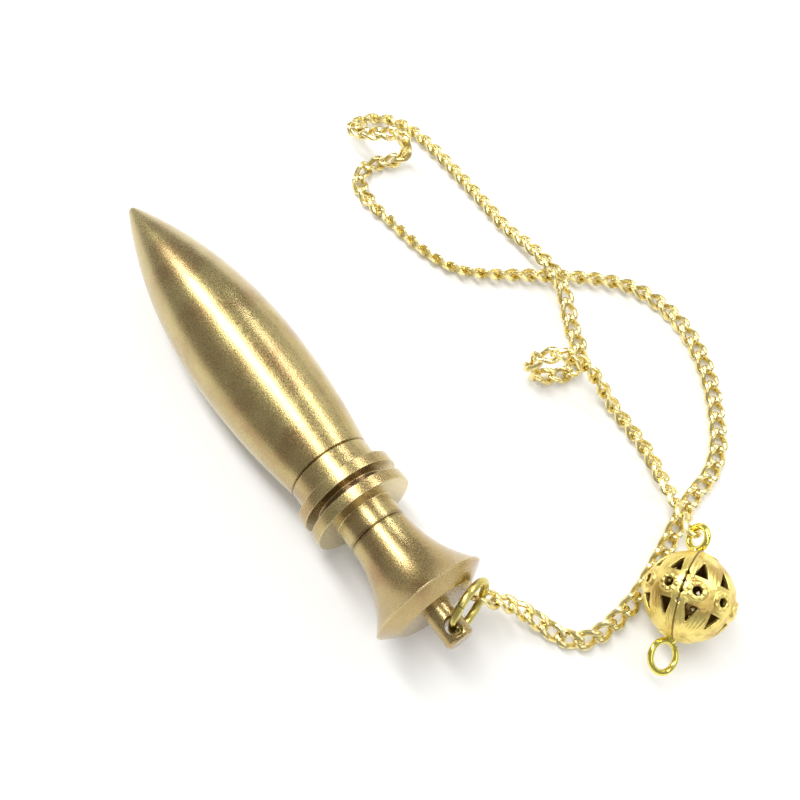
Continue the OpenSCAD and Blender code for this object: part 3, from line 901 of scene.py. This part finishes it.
def buildBead(satin, polished):
    values = {
        "Ball radius": ballR * mm,
        "Raised radius": raisedR * mm,
        "Inner radius": (ballR - bead["wall"]) * mm,
        "Band width": bead["bandWidth"] * mm,
    }
    points = pointsMesh("ballPoints", ballPlaces())
    ball = runTree("beadBall", points, ballTree(satin), values, beadFrame(),
                   bead["voxel"] * mm, bead["relax"], bead["keep"])
    parts = [(ball, satin)]
    for name, ring, flip in (("hangingRing", hangingRing, False), ("endRing", endRing, True)):
        base, ringPlace, out = ballRingPlace(ring, flip)
        parts.append((ringMesh(name, ring, polished, ringPlace), polished))
        parts.append((solderKnob(name + "Knob", ring, base, out), polished))
    mesh = joinMeshes("beadMesh", parts, [satin, polished])
    finishPiece("bead", mesh, "bead", bead["sharpAngle"])


# Materials: tones are mixed by a pattern, and sizes of patterns are millimetres
matteBrass = dict(
    tones=("BEA96C", "D0BD80"),
    stain="9C7048",
    # pale colour of the worn edges, which also serves as their painted highlight
    wornEdgeHighlight="E2D09A",
    grainSize=0.14,  # the real blasted grain is finer, and is drawn coarser so that it shows
    mottleSize=2.2,
    smokeSize=7.0,
    ringSpacing=0.35,
    lacquer=0.6,
)
greenBrass = dict(tones=("C6B860", "DCD082"), patchSize=1.1)
paleBrass = dict(tones=("E8D488", "F4E6AC"), dentSize=0.4, patchSize=2.5)
gilt = dict(
    tones=("F3D873", "FCEE9A"),
    tarnish="AE8138",
    # colour of the painted shade inside the hollow ball
    inside="5A3A14",
    flux="6B4514",
    stampSize=0.45,
    patchSize=2.0,
    fanLines=60.0,
    fanFrom=1.2,  # how far from the rosettes' row the lines start, and where they are full
    fanFull=1.8,
    fanHeight=0.18,
)
burnishedGilt = dict(tones=("E4D462", "F2E680"), patchSize=1.4)


def startMetal(name):
    # an empty material and its Object coordinates
    material = bpy.data.materials.new(name)
    material.use_nodes = True
    tree = material.node_tree
    tree.nodes.clear()
    return material, tree, addNode(tree, "ShaderNodeTexCoord").outputs["Object"]


def endMetal(tree, sockets):
    # one metal shader, which keeps its default IOR
    shader = addNode(tree, "ShaderNodeBsdfPrincipled", {"Metallic": 1.0, **sockets})
    addNode(tree, "ShaderNodeOutputMaterial", {"Surface": shader.outputs[0]})


def ownMillimetres(tree, source, place):
    # Object coordinates turned back to the frame that a piece was made in, in millimetres
    spot, turn, _ = place.decompose()
    return addNode(tree, "ShaderNodeMapping", {
        "Vector": source, "Location": spot, "Rotation": turn.to_euler(), "Scale": (mm, mm, mm)},
        vector_type="TEXTURE").outputs[0]


def stationMask(tree, station, middle, full, gone, strength, fade):
    # a strength that holds up to one distance from a station on the bob, and is gone at another
    away = addNode(tree, "ShaderNodeMath", {0: station, 1: middle}, operation="SUBTRACT")
    gap = addNode(tree, "ShaderNodeMath", {0: away.outputs[0]}, operation="ABSOLUTE")
    return addNode(tree, "ShaderNodeMapRange", {
        "Value": gap.outputs[0], "From Min": full, "From Max": gone,
        "To Min": strength, "To Max": 0.0}, interpolation_type=fade).outputs[0]


def turnedBrass():
    # Turned brass, blasted matte, thinly lacquered and handled since: a sandy sparkle in the
    # highlights, faint turning rings, smoky stains that deepen on the bell, painted shade in the
    # recesses and worn pale edges with a painted highlight.
    figures = bobFigures()
    material, tree, source = startMetal("turnedMatteBrass")
    local = ownMillimetres(tree, source, bobFrame())
    station = addNode(tree, "ShaderNodeSeparateXYZ", {"Vector": local}).outputs[2]
    grain = addNode(tree, "ShaderNodeTexNoise", {
        "Vector": local, "Scale": 1 / matteBrass["grainSize"], "Detail": 1.0, "Roughness": 0.6})
    mottle = addNode(tree, "ShaderNodeTexNoise", {
        "Vector": local, "Scale": 1 / matteBrass["mottleSize"], "Detail": 3.0, "Roughness": 0.55})
    smoke = addNode(tree, "ShaderNodeTexNoise", {
        "Vector": local, "Scale": 1 / matteBrass["smokeSize"], "Detail": 2.0, "Roughness": 0.5,
        "Distortion": 0.4})
    low, high = matteBrass["tones"]
    tone = addNode(tree, "ShaderNodeMix", {
        "Factor": mottle.outputs["Fac"], 6: hexColour(low), 7: hexColour(high)}, data_type="RGBA")
    cloudy = addNode(tree, "ShaderNodeMapRange", {
        "Value": smoke.outputs["Fac"], "From Min": 0.47, "From Max": 0.66, "To Max": 0.5})
    # the bell is handled most: a pinkish brown over all of it, added to the clouds
    onBell = addNode(tree, "ShaderNodeMapRange", {
        "Value": station, "From Min": figures["bellAt"] + 1, "From Max": figures["bellAt"] + 4,
        "To Min": 0.0, "To Max": 0.3})
    stained = addNode(tree, "ShaderNodeMath", {
        0: cloudy.outputs[0], 1: onBell.outputs[0]}, operation="ADD")
    aged = addNode(tree, "ShaderNodeMix", {
        "Factor": stained.outputs[0], 6: tone.outputs[2], 7: hexColour(matteBrass["stain"])},
        data_type="RGBA")
    shade = aged.outputs[2]
    # painted shade in the recesses: their station, half width, strength and colour
    grooveMid = (figures["grooveAt"] + figures["collarTwoAt"]) / 2
    recessShade = [
        (bob["ogiveLength"], 0.2, 0.4, "5A4020"),
        (grooveMid, bob["grooveWidth"] / 2 + 0.12, 0.8, "5E3820"),
        (figures["bellAt"], 0.45, 0.4, "5A4020"),
    ]
    for middle, half, strength, colour in recessShade:
        mask = stationMask(tree, station, middle, half * 0.6, half, strength, "SMOOTHSTEP")
        recessShadedTone = addNode(tree, "ShaderNodeMix", {
            "Factor": mask, 6: shade, 7: hexColour(colour)}, data_type="RGBA")
        shade = recessShadedTone.outputs[2]
    # the collars' edges and the bell's rim are worn pale and carry a painted highlight
    for edge in ("collarOneAt", "grooveAt", "collarTwoAt", "neckAt", "rimAt"):
        mask = stationMask(tree, station, figures[edge], 0.06, 0.18, 0.5, "LINEAR")
        wornAndLit = addNode(tree, "ShaderNodeMix", {
            "Factor": mask, 6: shade, 7: hexColour(matteBrass["wornEdgeHighlight"])}, data_type="RGBA")
        shade = wornAndLit.outputs[2]
    speck = addNode(tree, "ShaderNodeMapRange", {
        "Value": grain.outputs["Fac"], "From Min": 0.35, "From Max": 0.65})
    sand = addNode(tree, "ShaderNodeMix", {
        "Factor": speck.outputs[0], 6: hexColour("DEDEDE"), 7: hexColour("FFFFFF")}, data_type="RGBA")
    sandy = addNode(tree, "ShaderNodeMix", {
        "Factor": 1.0, 6: shade, 7: sand.outputs[2]}, data_type="RGBA", blend_type="MULTIPLY")
    rough = addNode(tree, "ShaderNodeMapRange", {
        "Value": grain.outputs["Fac"], "From Min": 0.3, "From Max": 0.7, "To Min": 0.22, "To Max": 0.36})
    # the turning rings are a faint ripple under the grain
    rings = addNode(tree, "ShaderNodeMath", {
        0: station, 1: 2 * math.pi / matteBrass["ringSpacing"]}, operation="MULTIPLY")
    ripple = addNode(tree, "ShaderNodeMath", {0: rings.outputs[0]}, operation="SINE")
    soft = addNode(tree, "ShaderNodeMath", {0: ripple.outputs[0], 1: 0.03}, operation="MULTIPLY")
    height = addNode(tree, "ShaderNodeMath", {
        0: soft.outputs[0], 1: grain.outputs["Fac"]}, operation="ADD")
    bump = addNode(tree, "ShaderNodeBump", {
        "Height": height.outputs[0], "Strength": 0.55, "Distance": 0.03 * mm})
    # the thin clear lacquer whitens the highlights and pales the rims
    endMetal(tree, {
        "Base Color": sandy.outputs[2], "Roughness": rough.outputs[0], "Normal": bump.outputs[0],
        "Coat Weight": matteBrass["lacquer"], "Coat Roughness": 0.16, "Coat Normal": bump.outputs[0]})
    return material


def drawnBrass():
    # Drawn brass wire, satin, and a little green with age in soft patches.
    material, tree, source = startMetal("drawnGreenishBrass")
    stain = addNode(tree, "ShaderNodeTexNoise", {
        "Vector": source, "Scale": 1 / (greenBrass["patchSize"] * mm), "Detail": 3.0})
    low, high = greenBrass["tones"]
    tone = addNode(tree, "ShaderNodeMix", {
        "Factor": stain.outputs["Fac"], 6: hexColour(low), 7: hexColour(high)}, data_type="RGBA")
    rough = addNode(tree, "ShaderNodeMapRange", {
        "Value": stain.outputs["Fac"], "To Min": 0.2, "To Max": 0.36})
    endMetal(tree, {"Base Color": tone.outputs[2], "Roughness": rough.outputs[0]})
    return material


def polishedChainBrass():
    # Pale brass wire, tumbled bright: small soft glints, broken up by tiny dents.
    material, tree, source = startMetal("tumbledPaleBrass")
    dents = addNode(tree, "ShaderNodeTexNoise", {
        "Vector": source, "Scale": 1 / (paleBrass["dentSize"] * mm), "Detail": 2.0})
    patch = addNode(tree, "ShaderNodeTexNoise", {
        "Vector": source, "Scale": 1 / (paleBrass["patchSize"] * mm), "Detail": 2.0})
    low, high = paleBrass["tones"]
    tone = addNode(tree, "ShaderNodeMix", {
        "Factor": patch.outputs["Fac"], 6: hexColour(low), 7: hexColour(high)}, data_type="RGBA")
    rough = addNode(tree, "ShaderNodeMapRange", {
        "Value": dents.outputs["Fac"], "To Min": 0.18, "To Max": 0.36})
    bump = addNode(tree, "ShaderNodeBump", {
        "Height": dents.outputs["Fac"], "Strength": 0.25, "Distance": 0.02 * mm})
    endMetal(tree, {
        "Base Color": tone.outputs[2], "Roughness": rough.outputs[0], "Normal": bump.outputs[0]})
    return material


def giltBrass():
    # Stamped and gilt brass: satin, warm yellow, uneven from the stamping, with fine lines that fan
    # out from the poles, brown tarnish in patches, dark flux in the seam and painted shade inside.
    material, tree, source = startMetal("stampedGiltBrass")
    stamped = addNode(tree, "ShaderNodeTexNoise", {
        "Vector": source, "Scale": 1 / (gilt["stampSize"] * mm), "Detail": 3.0})
    patch = addNode(tree, "ShaderNodeTexNoise", {
        "Vector": source, "Scale": 1 / (gilt["patchSize"] * mm), "Detail": 2.0})
    low, high = gilt["tones"]
    tone = addNode(tree, "ShaderNodeMix", {
        "Factor": patch.outputs["Fac"], 6: hexColour(low), 7: hexColour(high)}, data_type="RGBA")
    cloud = addNode(tree, "ShaderNodeMapRange", {
        "Value": patch.outputs["Fac"], "From Min": 0.48, "From Max": 0.66, "To Max": 0.6})
    tarnished = addNode(tree, "ShaderNodeMix", {
        "Factor": cloud.outputs[0], 6: tone.outputs[2], 7: hexColour(gilt["tarnish"])},
        data_type="RGBA")
    local = ownMillimetres(tree, source, beadFrame())
    # painted shade: the inside of the ball, out of the light, is painted dark
    fromMiddle = addNode(tree, "ShaderNodeVectorMath", {0: local}, operation="LENGTH")
    innerR = ballR - bead["wall"]
    inside = addNode(tree, "ShaderNodeMapRange", {
        "Value": fromMiddle.outputs["Value"], "From Min": innerR + 0.08, "From Max": innerR + 0.3,
        "To Min": 0.9, "To Max": 0.0})
    insideShaded = addNode(tree, "ShaderNodeMix", {
        "Factor": inside.outputs[0], 6: tarnished.outputs[2], 7: hexColour(gilt["inside"])},
        data_type="RGBA")
    sides = addNode(tree, "ShaderNodeSeparateXYZ", {"Vector": local})
    # the seam's groove lies across Y
    fromSeam = addNode(tree, "ShaderNodeMath", {0: sides.outputs[1]}, operation="ABSOLUTE")
    inSeam = addNode(tree, "ShaderNodeMapRange", {
        "Value": fromSeam.outputs[0], "From Min": bead["seamWidth"] * 0.5,
        "From Max": bead["seamWidth"], "To Min": 0.85, "To Max": 0.0})
    seamed = addNode(tree, "ShaderNodeMix", {
        "Factor": inSeam.outputs[0], 6: insideShaded.outputs[2], 7: hexColour(gilt["flux"])},
        data_type="RGBA")
    around = addNode(tree, "ShaderNodeMath", {
        0: sides.outputs[1], 1: sides.outputs[0]}, operation="ARCTAN2")
    fan = addNode(tree, "ShaderNodeMath", {
        0: around.outputs[0], 1: gilt["fanLines"]}, operation="MULTIPLY")
    lines = addNode(tree, "ShaderNodeMath", {0: fan.outputs[0]}, operation="SINE")
    fromWaist = addNode(tree, "ShaderNodeMath", {0: sides.outputs[2]}, operation="ABSOLUTE")
    share = addNode(tree, "ShaderNodeMapRange", {
        "Value": fromWaist.outputs[0], "From Min": gilt["fanFrom"], "From Max": gilt["fanFull"],
        "To Min": 0.0, "To Max": gilt["fanHeight"]})
    drawn = addNode(tree, "ShaderNodeMath", {
        0: lines.outputs[0], 1: share.outputs[0]}, operation="MULTIPLY")
    height = addNode(tree, "ShaderNodeMath", {
        0: drawn.outputs[0], 1: stamped.outputs["Fac"]}, operation="ADD")
    rough = addNode(tree, "ShaderNodeMapRange", {
        "Value": stamped.outputs["Fac"], "To Min": 0.24, "To Max": 0.44})
    bump = addNode(tree, "ShaderNodeBump", {
        "Height": height.outputs[0], "Strength": 0.7, "Distance": 0.09 * mm})
    endMetal(tree, {
        "Base Color": seamed.outputs[2], "Roughness": rough.outputs[0], "Normal": bump.outputs[0]})
    return material


def polishedGilt():
    # Gilt wire, burnished: bright yellow with sharp reflections.
    material, tree, source = startMetal("burnishedGiltWire")
    patch = addNode(tree, "ShaderNodeTexNoise", {
        "Vector": source, "Scale": 1 / (burnishedGilt["patchSize"] * mm), "Detail": 2.0})
    low, high = burnishedGilt["tones"]
    tone = addNode(tree, "ShaderNodeMix", {
        "Factor": patch.outputs["Fac"], 6: hexColour(low), 7: hexColour(high)}, data_type="RGBA")
    rough = addNode(tree, "ShaderNodeMapRange", {
        "Value": patch.outputs["Fac"], "To Min": 0.1, "To Max": 0.22})
    endMetal(tree, {"Base Color": tone.outputs[2], "Roughness": rough.outputs[0]})
    return material


buildBob(turnedBrass())
buildJumpRing(drawnBrass())
buildChain(polishedChainBrass())
buildBead(giltBrass(), polishedGilt())


# Floor and light
studio = dict(
    floorSize=4.0,
    floorDrop=0.1,
    floorColour="ECEBE8",
    floorGlow=0.12,
    worldGrey=0.36,
)


def buildFloor():
    # white paper, lit a little from behind as on a light table
    mesh = bpy.data.meshes.new("floor")
    half = studio["floorSize"] / 2
    mesh.from_pydata([(-half, -half, 0), (half, -half, 0), (half, half, 0), (-half, half, 0)], [],
                     [(0, 1, 2, 3)])
    paper = bpy.data.materials.new("whitePaper")
    paper.use_nodes = True
    shader = paper.node_tree.nodes["Principled BSDF"]
    shader.inputs["Base Color"].default_value = hexColour(studio["floorColour"])
    shader.inputs["Roughness"].default_value = 0.9
    shader.inputs["Specular IOR Level"].default_value = 0.1
    shader.inputs["Emission Color"].default_value = (1.0, 1.0, 0.97, 1.0)
    shader.inputs["Emission Strength"].default_value = studio["floorGlow"]
    mesh.materials.append(paper)
    floor = bpy.data.objects.new("floor", mesh)
    floor.location.z = -studio["floorDrop"] * mm
    scene.collection.objects.link(floor)


def areaLight(name, direction, distance, along, size, power):
    # a rectangle of light that looks at the pendant's middle, its long side along a direction
    data = bpy.data.lights.new(name, "AREA")
    data.shape = "RECTANGLE"
    data.size, data.size_y = size
    data.energy = power
    light = bpy.data.objects.new(name, data)
    out = Vector(direction).normalized()
    side = (Vector(along) - out * Vector(along).dot(out)).normalized()
    turn = Matrix((side, out.cross(side), out)).transposed().to_4x4()
    light.matrix_world = Matrix.Translation(out * distance) @ turn
    scene.collection.objects.link(light)


def buildWorld():
    world = bpy.data.worlds.new("studio")
    world.use_nodes = True
    sky = world.node_tree.nodes["Background"]
    sky.inputs["Color"].default_value = (1, 1, 1, 1)
    sky.inputs["Strength"].default_value = studio["worldGrey"]
    scene.world = world


# where each light stands from the pendant's middle, how far off in metres, the way of its long
# side, its two sides in metres, and its watts
bobAxis = (0.595, -0.804, 0)
lights = dict(
    mainStrip=((-0.31, 0.33, 0.89), 0.47, bobAxis, (0.6, 0.1), 2.1),
    thinStrip=((0.485, 0.421, 0.622), 0.42, bobAxis, (0.5, 0.04), 0.7),
    lowStrip=((0.75, 0.56, 0.3), 0.5, bobAxis, (0.6, 0.14), 0.17),
    fill=((0.45, -0.5, 0.75), 0.4, (1, 0, 0), (0.25, 0.25), 0.24),
    key=((0.7, 0.45, 0.8), 0.9, (0, 0, 1), (0.4, 0.4), 0.5),
)
buildFloor()
buildWorld()
for lightName, setting in lights.items():
    areaLight(lightName, *setting)
print("floor and lights placed")

bpy.context.view_layer.update()
